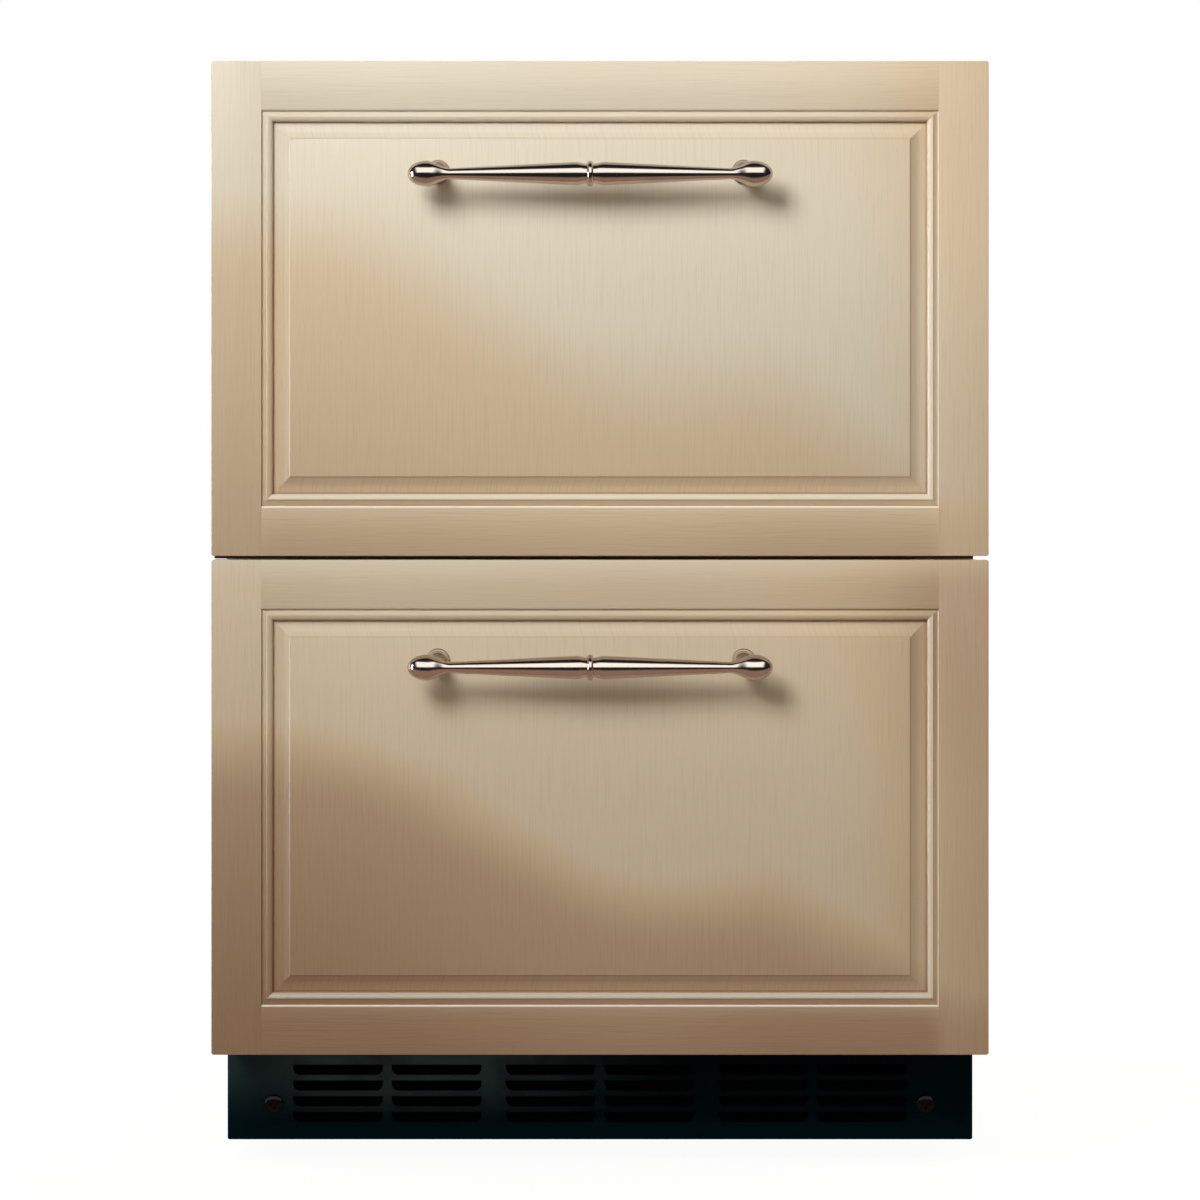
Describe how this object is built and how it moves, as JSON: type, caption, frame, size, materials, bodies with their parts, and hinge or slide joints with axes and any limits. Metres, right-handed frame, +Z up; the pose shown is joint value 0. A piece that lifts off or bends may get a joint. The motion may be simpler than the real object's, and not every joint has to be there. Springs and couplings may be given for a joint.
{
  "type": "undercounter drawer refrigerator",
  "caption": "Undercounter refrigerator with two deep drawers behind raised-panel fronts, turned bar handles, full-extension slides, a louvred toe-kick and levelling legs.",
  "frame": {"origin": "on the floor under the middle of the whole object, handles included", "axes": "+Z up, +X to the right as seen from the front, -Y the way the drawers open"},
  "size_m": [0.603, 0.64, 0.87],
  "materials": {
    "glazed_paint": "satin",
    "satin_nickel": "satin",
    "galvanised_sheet": "satin",
    "rigid_foam": "matte",
    "door_foam": "satin",
    "white_liner": "satin",
    "grey_trim": "satin",
    "black_sheet": "satin",
    "black_kick": "satin",
    "screw_steel": "satin",
    "black_shell": "gloss",
    "coil_aluminium": "satin",
    "black_plastic": "matte",
    "clear_lens": "satin",
    "slide_steel": "satin",
    "grey_fan": "matte",
    "grey_buttons": "satin",
    "black_rubber": "matte",
    "seal_rubber": "matte",
    "clear_bin": "gloss"
  },
  "bodies": {
    "cabinet": {"case_wrapper": "galvanised_sheet", "case_floor": "galvanised_sheet", "back_panel": "galvanised_sheet", "cabinet_foam": "rigid_foam", "liner": "white_liner", "mullion": "grey_trim", "base_frame": "black_sheet", "toe_kick": "black_kick", "cover_screws": "screw_steel", "machine_cover": "galvanised_sheet", "compressor": "black_shell", "condenser": "coil_aluminium", "condenser_fan_shroud": "black_plastic", "evaporator": "coil_aluminium", "evaporator_cover": "white_liner", "control_housing": "white_liner", "light_lenses": "clear_lens", "slide_outers": "slide_steel", "mounting_brackets": "slide_steel", "power_inlet": "black_plastic", "drain_pan": "black_plastic"},
    "upper_drawer": {"upper_stiles": "glazed_paint", "upper_rails": "glazed_paint", "upper_moulding": "glazed_paint", "upper_field": "glazed_paint", "upper_handle_bar": "satin_nickel", "upper_handle_posts": "satin_nickel", "upper_door_pan": "galvanised_sheet", "upper_door_core": "door_foam", "upper_gasket": "seal_rubber", "upper_side_rails": "slide_steel", "upper_slide_inners": "slide_steel", "upper_bin": "clear_bin"},
    "upper_slide": {"upper_slide_middles": "slide_steel"},
    "lower_drawer": {"lower_stiles": "glazed_paint", "lower_rails": "glazed_paint", "lower_moulding": "glazed_paint", "lower_field": "glazed_paint", "lower_handle_bar": "satin_nickel", "lower_handle_posts": "satin_nickel", "lower_door_pan": "galvanised_sheet", "lower_door_core": "door_foam", "lower_gasket": "seal_rubber", "lower_side_rails": "slide_steel", "lower_slide_inners": "slide_steel", "lower_bin": "clear_bin"},
    "lower_slide": {"lower_slide_middles": "slide_steel"},
    "condenser_fan": {"condenser_fan": "grey_fan"},
    "evaporator_fan": {"evaporator_fan": "grey_fan"},
    "power_button": {"power_button": "grey_buttons"},
    "warmer_button": {"warmer_button": "grey_buttons"},
    "colder_button": {"colder_button": "grey_buttons"},
    "leg_pad_front_left": {"leg_pad_front_left": "black_rubber"},
    "leg_stud_front_left": {"leg_stud_front_left": "screw_steel"},
    "leg_pad_front_right": {"leg_pad_front_right": "black_rubber"},
    "leg_stud_front_right": {"leg_stud_front_right": "screw_steel"},
    "leg_pad_rear_left": {"leg_pad_rear_left": "black_rubber"},
    "leg_stud_rear_left": {"leg_stud_rear_left": "screw_steel"},
    "leg_pad_rear_right": {"leg_pad_rear_right": "black_rubber"},
    "leg_stud_rear_right": {"leg_stud_rear_right": "screw_steel"}
  },
  "joints": [
    {"name": "upper_drawer_slide", "type": "slide", "parent": "cabinet", "child": "upper_drawer", "axis": [0, -1, 0], "range_m": [0, 0.4]},
    {"name": "upper_slide_extend", "type": "slide", "parent": "cabinet", "child": "upper_slide", "axis": [0, -1, 0], "range_m": [0, 0.2]},
    {"name": "lower_drawer_slide", "type": "slide", "parent": "cabinet", "child": "lower_drawer", "axis": [0, -1, 0], "range_m": [0, 0.275]},
    {"name": "lower_slide_extend", "type": "slide", "parent": "cabinet", "child": "lower_slide", "axis": [0, -1, 0], "range_m": [0, 0.1375]},
    {"name": "condenser_fan_spin", "type": "hinge", "parent": "cabinet", "child": "condenser_fan", "pos_m": [-0.106, 0.224, 0.1095], "axis": [1, 0, 0], "continuous": true},
    {"name": "evaporator_fan_spin", "type": "hinge", "parent": "cabinet", "child": "evaporator_fan", "pos_m": [0, 0.233, 0.753], "axis": [0, 1, 0], "continuous": true},
    {"name": "power_button_press", "type": "slide", "parent": "cabinet", "child": "power_button", "axis": [0, 1, 0], "range_m": [0, 0.001], "stiffness_N_per_m": 400},
    {"name": "warmer_button_press", "type": "slide", "parent": "cabinet", "child": "warmer_button", "axis": [0, 1, 0], "range_m": [0, 0.001], "stiffness_N_per_m": 400},
    {"name": "colder_button_press", "type": "slide", "parent": "cabinet", "child": "colder_button", "axis": [0, 1, 0], "range_m": [0, 0.001], "stiffness_N_per_m": 400},
    {"name": "leg_front_left_height", "type": "slide", "parent": "cabinet", "child": "leg_pad_front_left", "axis": [0, 0, -1], "range_m": [0, 0.018]},
    {"name": "leg_front_left_turn", "type": "hinge", "parent": "leg_pad_front_left", "child": "leg_stud_front_left", "pos_m": [-0.257, -0.075, 0.01], "axis": [0, 0, -1], "range_deg": [0, 4325]},
    {"name": "leg_front_right_height", "type": "slide", "parent": "cabinet", "child": "leg_pad_front_right", "axis": [0, 0, -1], "range_m": [0, 0.018]},
    {"name": "leg_front_right_turn", "type": "hinge", "parent": "leg_pad_front_right", "child": "leg_stud_front_right", "pos_m": [0.257, -0.075, 0.01], "axis": [0, 0, -1], "range_deg": [0, 4325]},
    {"name": "leg_rear_left_height", "type": "slide", "parent": "cabinet", "child": "leg_pad_rear_left", "axis": [0, 0, -1], "range_m": [0, 0.018]},
    {"name": "leg_rear_left_turn", "type": "hinge", "parent": "leg_pad_rear_left", "child": "leg_stud_rear_left", "pos_m": [-0.257, 0.285, 0.01], "axis": [0, 0, -1], "range_deg": [0, 4325]},
    {"name": "leg_rear_right_height", "type": "slide", "parent": "cabinet", "child": "leg_pad_rear_right", "axis": [0, 0, -1], "range_m": [0, 0.018]},
    {"name": "leg_rear_right_turn", "type": "hinge", "parent": "leg_pad_rear_right", "child": "leg_stud_rear_right", "pos_m": [0.257, 0.285, 0.01], "axis": [0, 0, -1], "range_deg": [0, 4325]}
  ],
  "couplings": [
    {"joint": "upper_slide_extend", "follows": "upper_drawer_slide", "ratio": 0.5},
    {"joint": "lower_slide_extend", "follows": "lower_drawer_slide", "ratio": 0.5},
    {"joint": "leg_front_left_turn", "follows": "leg_front_left_height", "rad_per_m": 4188.8},
    {"joint": "leg_front_right_turn", "follows": "leg_front_right_height", "rad_per_m": 4188.8},
    {"joint": "leg_rear_left_turn", "follows": "leg_rear_left_height", "rad_per_m": 4188.8},
    {"joint": "leg_rear_right_turn", "follows": "leg_rear_right_height", "rad_per_m": 4188.8}
  ]
}
